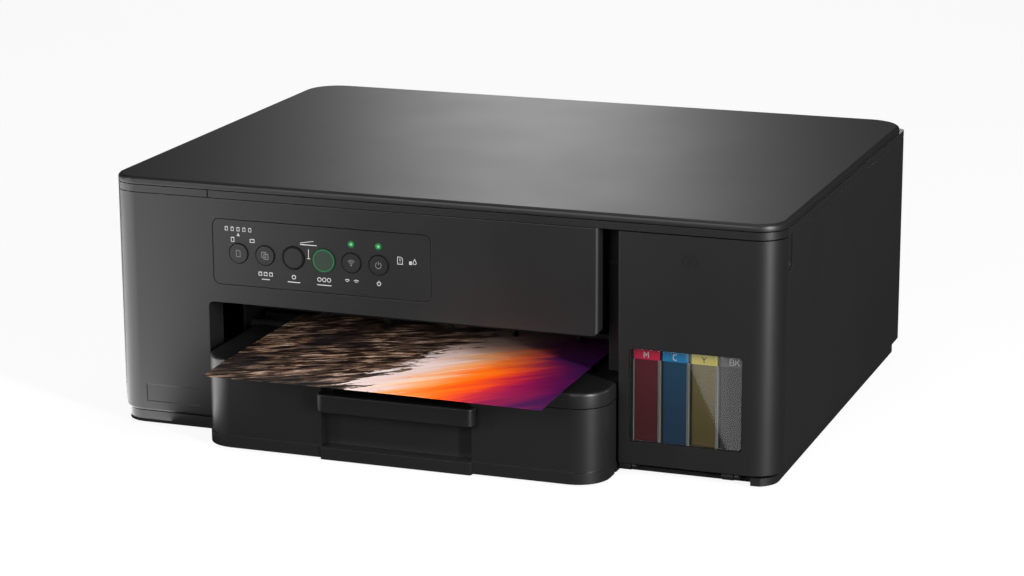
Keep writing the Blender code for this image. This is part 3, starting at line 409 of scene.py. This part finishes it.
def soft_disc(bm, centre, radius, length, axis="y", rim=0.2, segments=32):
    """Adds a disc with rounded rims, given in millimetres of the row's frame."""
    part = bmesh.new()
    bmesh.ops.create_cone(part, cap_ends=True, segments=segments, radius1=radius * MM,
                          radius2=radius * MM, depth=length * MM)
    turn = {"x": Matrix.Rotation(math.pi / 2, 3, "Y"),
            "y": Matrix.Rotation(-math.pi / 2, 3, "X")}[axis]
    bmesh.ops.rotate(part, cent=(0, 0, 0), matrix=turn, verts=part.verts)
    bmesh.ops.translate(part, vec=Vector(centre) * MM, verts=part.verts)
    return add(bm, soften(part, rim, crease=40.0))


def add(bm, part):
    """Moves the faces of one bmesh into another."""
    mesh = bpy.data.meshes.new("joined")
    part.to_mesh(mesh)
    part.free()
    bm.from_mesh(mesh)
    bpy.data.meshes.remove(mesh)
    return bm


def stroke(bm, points, width, y, closed=False, thick=0.06):
    """A raised line along points (x, z) on an upright face at y, in millimetres."""
    path = [Vector(p) for p in points]
    count = len(path)
    sides = []
    for at, point in enumerate(path):
        before = path[at - 1] if closed or at else None
        after = path[(at + 1) % count] if closed or at + 1 < count else None
        into = (point - before).normalized() if before is not None else (after - point).normalized()
        out = (after - point).normalized() if after is not None else into
        along = (into + out).normalized() if (into + out).length > 1e-6 else into
        across = Vector((-along.y, along.x))
        reach = width / 2 / max(0.5, across.dot(Vector((-into.y, into.x))))
        sides.append((point + across * reach, point - across * reach))
    rings = []
    for first, second in sides:
        rings.append([bm.verts.new(Vector((p.x, level, p.y)) * MM)
                      for p, level in ((first, y), (first, y - thick), (second, y - thick), (second, y))])
    spans = range(count if closed else count - 1)
    for at in spans:
        a, b = rings[at], rings[(at + 1) % count]
        for corner in range(4):
            bm.faces.new((a[corner], b[corner], b[(corner + 1) % 4], a[(corner + 1) % 4]))
    if not closed:
        bm.faces.new(rings[0][::-1])
        bm.faces.new(rings[-1])
    return bm


def arc(x, z, radius, start=0.0, end=360.0, steps=24, tall=1.0):
    """Points (x, z) round a centre, angles in degrees from +x."""
    whole = abs(end - start) >= 360
    return [(x + radius * math.cos(math.radians(start + (end - start) * i / steps)),
             z + tall * radius * math.sin(math.radians(start + (end - start) * i / steps)))
            for i in range(steps + (not whole))]


def box_mm(node):
    low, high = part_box(node)
    return low / MM, high / MM


def centre_mm(node):
    low, high = box_mm(node)
    return (low + high) / 2


def outline(x, z, wide, tall, cut=0.0):
    """A page's outline round its middle, with one corner folded by cut."""
    w, h = wide / 2, tall / 2
    return [(x - w, z - h), (x + w, z - h), (x + w, z + h - cut), (x + w - cut, z + h),
            (x - w, z + h)]


# nodes whose look differs from the one of their slot
OWN_LOOK = {"star_wheel_holder": "inner_black", "button_copy_colour": "button_green",
         "carriage_frame": "frame_steel"}
for node in sorted(NODES):
    if node != "printed_sheet":  # the sheet has its own shape, below
        finished(node, 1.0 if node == "cover_backing_pad" else 0.45, look=OWN_LOOK.get(node))


def boxes(name, look, body, slot, *ends, radius=0.3):
    """One piece of rounded boxes, each given by its two ends in millimetres."""
    bm = bmesh.new()
    for low, high in ends:
        soft_box(bm, low, high, radius)
    return keep(name, bm, look, body)


# ---------------------------------------------------------------- control panel
def lines(name, look, body, slot, *paths):
    """One piece of printed lines: each path is (points, width, y, closed)."""
    bm = bmesh.new()
    for path in paths:
        stroke(bm, *path)
    bmesh.ops.recalc_face_normals(bm, faces=bm.faces)
    return keep(name, bm, look, body)


def panel_marks():
    cap_y = box_mm("button_power")[0].y
    face = box_mm("control_panel")[0].y
    at = {name: centre_mm("button_" + name) for name in
          ("paper_size", "copies", "copy_mono", "copy_colour", "wifi", "power")}
    z = at["power"].z
    # symbols on the caps
    x = at["paper_size"].x
    lines("mark_paper_size", "print_grey", "button_paper_size", "button_black",
          (outline(x, z, 2.6, 4.0, 0.8), 0.35, cap_y, True))
    x = at["copies"].x
    lines("mark_copies", "print_grey", "button_copies", "button_black",
          (outline(x - 0.7, z + 0.5, 2.8, 3.2), 0.45, cap_y, True),
          (outline(x + 0.8, z - 0.6, 2.8, 3.2), 0.45, cap_y, True))
    x = at["wifi"].x
    lines("mark_wifi", "print_grey", "button_wifi", "button_black",
          (arc(x, z - 1.3, 0.35, steps=10), 0.5, cap_y, True),
          *[(arc(x, z - 1.3, r, 45, 135, 10), 0.4, cap_y) for r in (1.4, 2.3, 3.2)])
    x = at["power"].x
    lines("mark_power", "print_grey", "button_power", "button_black",
          (arc(x, z, 1.9, 120, 420, 24), 0.45, cap_y), ([(x, z + 0.4), (x, z + 2.5)], 0.45, cap_y))
    # rings round the caps
    for name, look, wide, inset in (("copy_mono", "print_black", 1.1, 0.55),
                                    ("copy_colour", "print_green", 0.75, 0.45),
                                    ("paper_size", "print_black", 0.35, 0.2),
                                    ("copies", "print_black", 0.35, 0.2),
                                    ("wifi", "print_black", 0.35, 0.2),
                                    ("power", "print_black", 0.35, 0.2)):
        low, high = box_mm("button_" + name)
        radius = 7.3 if name.startswith("copy") else 6.3
        lines("ring_" + name, look, "button_" + name, "button_black",
              (arc(at[name].x, z, radius - inset, steps=48), wide, cap_y, True))
    # printed symbols on the panel
    x = at["paper_size"].x
    paths = [([(x - 0.7, z + 11.2), (x + 0.7, z + 11.2), (x, z + 12.6)], 0.4, face, True),
             (outline(x - 3.9, z + 8.6, 1.9, 2.6), 0.35, face, True),
             (outline(x + 9.4, z + 8.6, 2.8, 1.9), 0.35, face, True)]
    paths += [(outline(x + step * 4.0, z + 15.3, 1.6, 2.2), 0.3, face, True)
              for step in range(-2, 3)]
    x = at["copies"].x
    paths += [(outline(x + step * 3.6, z - 11.8, 2.0, 2.0), 0.35, face, True)
              for step in (-1, 0, 1)]
    paths.append(([(x - 2.6, z - 15.2), (x + 2.6, z - 15.2)], 0.5, face))
    x = at["copy_mono"].x
    paths += [(arc(x, z - 12.2, 1.2, steps=20), 0.4, face, True),
              ([(x - 4.2, z - 15.4), (x + 4.2, z - 15.4)], 0.5, face)]
    x = at["copy_colour"].x
    paths += [(arc(x + step * 3.2, z - 12.2, 1.2, steps=20), 0.4, face, True) for step in (-1, 0, 1)]
    paths.append(([(x - 4.8, z - 15.6), (x + 4.8, z - 15.6)], 0.5, face))
    x = (at["copy_mono"].x + at["copy_colour"].x) / 2
    paths += [([(x - 5.5, z + 9.0), (x + 5.5, z + 9.0)], 0.5, face),
              ([(x - 5.5, z + 9.9), (x + 3.5, z + 11.6)], 0.35, face),
              ([(x, z + 6.4), (x, z + 0.4)], 0.35, face),
              ([(x - 1.1, z + 0.4), (x + 1.1, z + 0.4)], 0.35, face)]
    x = at["wifi"].x
    paths += [(arc(x + step, z - 12.6, r, 40, 140, 8), 0.4, face)
              for step in (-3.0, 3.0) for r in (0.9, 2.0)]
    x = at["power"].x
    paths += [(arc(x, z - 11.6, 1.2, 120, 420, 16), 0.4, face),
              ([(x, z - 11.4), (x, z - 9.8)], 0.4, face)]
    # warning symbols at the right
    x = at["power"].x + 14.1
    paths += [(outline(x, z + 4.1, 3.2, 4.4, 0.9), 0.35, face, True),
              ([(x, z + 5.4), (x, z + 3.9)], 0.4, face), ([(x, z + 3.3), (x, z + 2.9)], 0.4, face)]
    x += 8.4
    paths += [(outline(x - 1.4, z + 3.0, 1.2, 1.2), 0.7, face, True),
              (arc(x + 1.2, z + 3.4, 1.0, -200, 20, 14) + [(x + 1.2, z + 5.6)], 0.35, face, True)]
    lines("panel_marks", "print_white", "printer", "panel_black", *paths)
    # lit lenses
    bm = bmesh.new()
    for x, y, level in LIGHTS:
        part = bmesh.new()
        bmesh.ops.create_uvsphere(part, u_segments=32, v_segments=16, radius=LENS_R)
        bmesh.ops.scale(part, vec=(1, 0.05, 1), verts=part.verts)
        bmesh.ops.translate(part, vec=(x, y, level), verts=part.verts)
        add(bm, part)
    keep("indicator_lenses", bm, "indicator_green", "printer")


panel_marks()


# ---------------------------------------------------------------- ink bay
LETTERS = {  # strokes in a box one unit wide and one tall
    "M": [[(0, 0), (0, 1), (0.5, 0.35), (1, 1), (1, 0)]],
    "C": [arc(0.55, 0.5, 0.5, 50, 310, 14)],
    "Y": [[(0, 1), (0.5, 0.5), (1, 1)], [(0.5, 0.5), (0.5, 0)]],
    "B": [[(0, 0), (0, 1), (0.6, 1), (0.8, 0.85), (0.8, 0.62), (0.6, 0.52), (0, 0.52)],
          [(0.6, 0.52), (0.9, 0.38), (0.9, 0.14), (0.65, 0), (0, 0)]],
    "K": [[(0, 0), (0, 1)], [(0.85, 1), (0, 0.42)], [(0.3, 0.62), (0.9, 0)]],
}


LABEL_H = 7.2
LETTER_H = 3.6
LETTER_STEP = 0.95  # shares of a letter's height
LETTER_W = 0.75


def ink_bay():
    """Each tank's label with its letters, and the clear wall at the tank's right side."""
    top = box_mm("ink_window")[1].z
    label_low, label_high = top - 0.4 - LABEL_H, top - 0.4
    wall_top = label_low - 0.2
    for colour, text, shift in (("magenta", "M", 0.0), ("cyan", "C", 0.0), ("yellow", "Y", 0.0),
                                ("black", "BK", -1.5)):
        low, high = box_mm("ink_tank_" + colour)
        slot = "ink_" + colour
        front = low.y - 0.5
        boxes("label_" + colour, "label_" + colour, "printer", slot,
              ((low.x + 0.1, front, label_low), (high.x - 0.1, low.y + 0.2, label_high)),
              radius=0.25)
        left = (low.x + high.x) / 2 + shift - len(text) * LETTER_H * 0.42
        paths = []
        for at, letter in enumerate(text):
            start = left + LETTER_H * LETTER_STEP * at
            paths += [([(start + LETTER_H * LETTER_W * x, label_low + 1.2 + LETTER_H * z)
                        for x, z in path], 0.55, front) for path in LETTERS[letter]]
        lines("letter_" + colour, "print_black" if text == "Y" else "letter_white", "printer",
              slot, *paths)
        bm = bmesh.new()
        soft_box(bm, (high.x - 1.1, low.y - 0.45, low.z + 0.2),
                 (high.x + 0.7, low.y + 6, wall_top), 0.4)
        if colour == "magenta":  # the first tank shows its left wall too
            soft_box(bm, (low.x - 0.3, low.y - 0.45, low.z + 0.2),
                     (low.x + 0.4, low.y + 6, wall_top), 0.2)
        keep("wall_" + colour, bm, "tank_clear", "printer")


ink_bay()


# ---------------------------------------------------------------- paper
def printed_sheet():
    """The sheet, faintly arched across and drooping a little where it hangs over the shelf."""
    low, high = box_mm("printed_sheet")
    bm = bmesh.new()
    droop, arch, thick = 0.9, 0.35, 0.22
    bmesh.ops.create_grid(bm, x_segments=48, y_segments=60, size=0.5)
    shelf = box_mm("tray_cover")[0].y
    for vert in bm.verts:
        u, v = vert.co.x + 0.5, vert.co.y + 0.5
        x, y = low.x + u * (high.x - low.x), low.y + v * (high.y - low.y)
        over = max(0.0, (shelf - y) / (shelf - low.y))
        z = high.z - droop * over ** 2 + arch * over * math.cos(2 * math.pi * (u - 0.5))
        vert.co = Vector((x, y, z)) * MM
    under = bmesh.ops.extrude_face_region(bm, geom=list(bm.faces))
    moved = [item for item in under["geom"] if isinstance(item, bmesh.types.BMVert)]
    bmesh.ops.translate(bm, vec=(0, 0, -thick * MM), verts=moved)
    bmesh.ops.recalc_face_normals(bm, faces=bm.faces)
    piece = keep("printed_sheet.look", bm, "printed_paper", "printed_sheet")
    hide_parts("printed_sheet")


printed_sheet()


# ---------------------------------------------------------------- details at the back and inside
def screws(name, places, y):
    """Cross-head screws whose heads look along +y, each at (x, z); each cross slot is a flat black cross
    on the head, painted shade where the recess would be.
    """
    bm, slot_shade = bmesh.new(), bmesh.new()
    for x, z in places:
        soft_disc(bm, (x, y, z), 3.1, 1.2, rim=0.5, segments=24)
        # the cross slot: flat black strokes on the head, painted shade in place of the recess
        stroke(slot_shade, [(x - 1.8, z), (x + 1.8, z)], 0.7, y + 0.58, thick=-0.06)
        stroke(slot_shade, [(x, z - 1.8), (x, z + 1.8)], 0.7, y + 0.6, thick=-0.06)
    bmesh.ops.recalc_face_normals(slot_shade, faces=slot_shade.faces)
    keep(name, bm, "steel", "printer")
    keep(name + "_slots", slot_shade, "print_black", "printer")


def back_details():
    """Screws, a rating plate with plain lines on it, and the jam cover's latches."""
    rear = box_mm("rear_cover")[1].y
    screws("rear_screws", [(x, z) for x in (-184, 184) for z in (20, 138)], rear)
    plate_x, plate_z, plate_w, plate_h = -140, 114, 56, 28
    boxes("rating_plate", "print_grey", "printer", "casing_black",
          ((plate_x - plate_w / 2, rear - 0.2, plate_z - plate_h / 2),
           (plate_x + plate_w / 2, rear + 0.25, plate_z + plate_h / 2)), radius=0.15)
    face = rear + 0.24
    bm = bmesh.new()
    stroke(bm, outline(plate_x, plate_z, plate_w - 4, plate_h - 4), 0.4, face, True, thick=-0.06)
    for row in range(4):
        level = plate_z - 6 + 4 * row
        stroke(bm, [(plate_x + 22, level), (plate_x - 10 + 5 * (row % 2), level)], 0.7, face,
               thick=-0.06)
    bmesh.ops.recalc_face_normals(bm, faces=bm.faces)
    keep("rating_plate_lines", bm, "print_white", "printer")
    high = box_mm("jam_clear_cover")[1]
    boxes("jam_cover_latches", "grey_plastic", "jam_clear_cover", "casing_black",
          *[((x - 9, high.y - 0.3, high.z - 14), (x + 9, high.y + 1.0, high.z - 4))
            for x in (-70, 70)], radius=0.6)


def scanner_details():
    """The reading bar's lens and light strips, and ticks for page corners beside the glass."""
    low, high = box_mm("scan_bar")
    middle = (low.x + high.x) / 2
    boxes("scan_bar_lens", "print_grey", "scan_bar", "inner_black",
          ((middle - 3, low.y + 5, high.z - 0.2), (middle + 3, high.y - 5, high.z + 0.3)))
    boxes("scan_bar_light", "white_plastic", "scan_bar", "inner_black",
          ((middle + 4.5, low.y + 5, high.z - 0.2), (middle + 6.5, high.y - 5, high.z + 0.3)))
    low = box_mm("scanner_glass")[0]
    top = box_mm("scanner_housing")[1].z
    boxes("page_corner_ticks", "print_white", "scanner_unit", "casing_black",
          ((low.x - 7, low.y - 0.4, top - 0.1), (low.x - 1.5, low.y + 0.2, top + 0.05)),
          ((low.x - 0.4, low.y - 7, top - 0.1), (low.x + 0.2, low.y - 1.5, top + 0.05)),
          *[((x, low.y - 4, top - 0.1), (x + 0.4, low.y - 1.5, top + 0.05))
            for x in (low.x + 148, low.x + 210, low.x + 279)], radius=0.04)


def inner_details():
    """What stands on the main board, and foam under the parked print head."""
    face = box_mm("main_board")[1].x - 0.1
    chips = [((face, -30, 50), (face + 1.6, -8, 72)), ((face, 10, 60), (face + 1.4, 22, 78)),
             ((face, 34, 30), (face + 1.4, 44, 48)), ((face, 60, 74), (face + 1.2, 70, 84))]
    boxes("board_chips", "print_black", "printer", "board_green", *chips, radius=0.2)
    boxes("board_sockets", "white_plastic", "printer", "board_green",
          *[((face, y, 92), (face + 3.0, y + 14, 98)) for y in (-50, -28, -6, 16, 38)],
          ((face, 90, 24), (face + 3.0, 118, 32)), radius=0.3)
    bm = bmesh.new()
    for y, z in ((90, 50), (102, 50), (90, 64), (102, 64), (-52, 30), (-40, 30)):
        soft_disc(bm, (face + 1.5, y, z), 4.2, 3.0, axis="x", rim=0.4, segments=20)
    keep("board_capacitors", bm, "steel", "printer")
    low, high = box_mm("capping_station")
    boxes("capping_pads", "print_black", "printer", "rubber_black",
          *[((x, low.y + 8, high.z - 0.3), (x + 10, low.y + 34, high.z + 0.5))
            for x in (low.x + 10, low.x + 26, low.x + 42)], radius=0.3)


def front_mark():
    """A ring with a drop, raised on the ink cover above the window."""
    face = box_mm("ink_cover")[0].y
    x, z = 162.7, 136.6
    drop = arc(x, z - 0.6, 1.3, -220, 40, 14) + [(x, z + 2.6)]
    lines("ink_cover_mark", "casing_black", "ink_cover", "casing_black",
          (arc(x, z, 4.2, steps=40), 0.5, face, True, 0.2), (drop, 0.5, face, True, 0.2))


back_details()
scanner_details()
inner_details()
front_mark()


# ---------------------------------------------------------------- stage, light, camera
def area(name, place, aim, size, power):
    lamp = bpy.data.lights.new(name, "AREA")
    lamp.shape = "RECTANGLE"
    lamp.size, lamp.size_y = size
    lamp.energy = power
    made = bpy.data.objects.new(name, lamp)
    made.location = place
    made.rotation_mode = "QUATERNION"
    made.rotation_quaternion = (Vector(aim) - Vector(place)).to_track_quat("-Z", "Y")
    made.visible_camera = False
    bpy.context.scene.collection.objects.link(made)
    return made


def backdrop(name, bm, look):
    """A surface of the studio that the camera sees and that lights nothing."""
    mesh = bpy.data.meshes.new(name)
    bm.to_mesh(mesh)
    bm.free()
    mesh.materials.append(look.material)
    made = bpy.data.objects.new(name, mesh)
    bpy.context.scene.collection.objects.link(made)
    made.visible_glossy = made.visible_diffuse = made.visible_shadow = False
    return made


def stage():
    """A pale floor that fades into a pale backdrop."""
    bm = bmesh.new()
    bmesh.ops.create_grid(bm, x_segments=1, y_segments=1, size=12)
    backdrop("floor", bm, Look("floor_pale", (0.12, 0.12, 0.12), 0.8, Specular_IOR_Level=0.0,
                               Emission_Color=(1, 1, 1, 1), Emission_Strength=0.9))
    bm = bmesh.new()
    bmesh.ops.create_uvsphere(bm, u_segments=32, v_segments=16, radius=14)
    dome = backdrop("backdrop", bm, Look("backdrop_pale", (0, 0, 0), 1.0, Specular_IOR_Level=0.0,
                                         Emission_Color=(1, 1, 1, 1), Emission_Strength=0.99))
    dome.visible_transmission = False
    world = bpy.data.worlds.new("studio")
    world.use_nodes = True
    background = world.node_tree.nodes["Background"]
    background.inputs["Color"].default_value = (1, 1, 1, 1)
    background.inputs["Strength"].default_value = 0.05
    bpy.context.scene.world = world


stage()
area("key", (-0.5, -2.3, 1.0), (0, -0.1, 0.08), (1.8, 0.9), 32)
area("overhead", (0, 0.1, 2.4), (0, 0, 0), (1.6, 1.6), 10)
area("strip_behind", (-0.96, 2.75, 0.95), (0, 0.1, 0.15), (0.42, 1.5), 7.5)
# a card on the floor that the left end of the casing front mirrors
card = area("floor_card_left", (-0.83, -0.49, 0.004), (-0.83, -0.49, 1), (0.9, 1.2), 16)
area("strip_right", (1.44, -0.95, 0.5), (0.2, -0.1, 0.1), (0.15, 1.0), 55)
area("strip_left", (-1.5, -1.0, 0.45), (-0.2, -0.1, 0.1), (0.12, 0.9), 10)
# a card on the floor that only the ink window mirrors, with its edge across the yellow tank
window_card = area("window_card", (0.3606, -0.3744, 0.003), (0.3606, -0.3744, 1), (0.5, 0.7), 2.0)
for lamp in (card, window_card):  # both face up and are turned towards the camera
    lamp.rotation_mode = "XYZ"
    lamp.rotation_euler = (math.pi, 0, math.radians(-23.6))
# fills behind the printer that leave the lid alone
fills = [area("fill_back", (0.5, 2.2, 0.9), (0, 0.1, 0.08), (1.4, 0.8), 30),
         area("fill_back_left", (-2.0, 1.2, 0.8), (-0.1, 0.1, 0.08), (0.8, 0.8), 20)]
no_fill = ("document_cover", "floor", "backdrop")
filled = [piece.name for piece in bpy.data.objects
          if piece.type == "MESH" and not piece.name.startswith(no_fill)]
for name, lamps, pieces in (("window_only", [window_card], ["ink_window.look"]),
                            ("all_but_lid", fills, filled)):
    lit = bpy.data.collections.new(name)
    for piece in pieces:
        lit.objects.link(bpy.data.objects[piece])
    for lamp in lamps:
        lamp.light_linking.receiver_collection = lit

lens_data = bpy.data.cameras.new("camera")
lens_data.lens = 102.79
lens_data.sensor_width = 36.0
lens_data.clip_start, lens_data.clip_end = 0.05, 60.0
camera = bpy.data.objects.new("camera", lens_data)
right = Vector((0.93953, 0.34244, -0.00459))
back = Vector((0.33250, -0.90888, 0.25176))
turn = Matrix((right, back.cross(right), back)).transposed()
camera.matrix_world = Matrix.Translation((0.6352, -1.7230, 0.5533)) @ turn.to_4x4()
bpy.context.scene.collection.objects.link(camera)
bpy.context.scene.camera = camera
bpy.context.scene.view_settings.view_transform = "Standard"
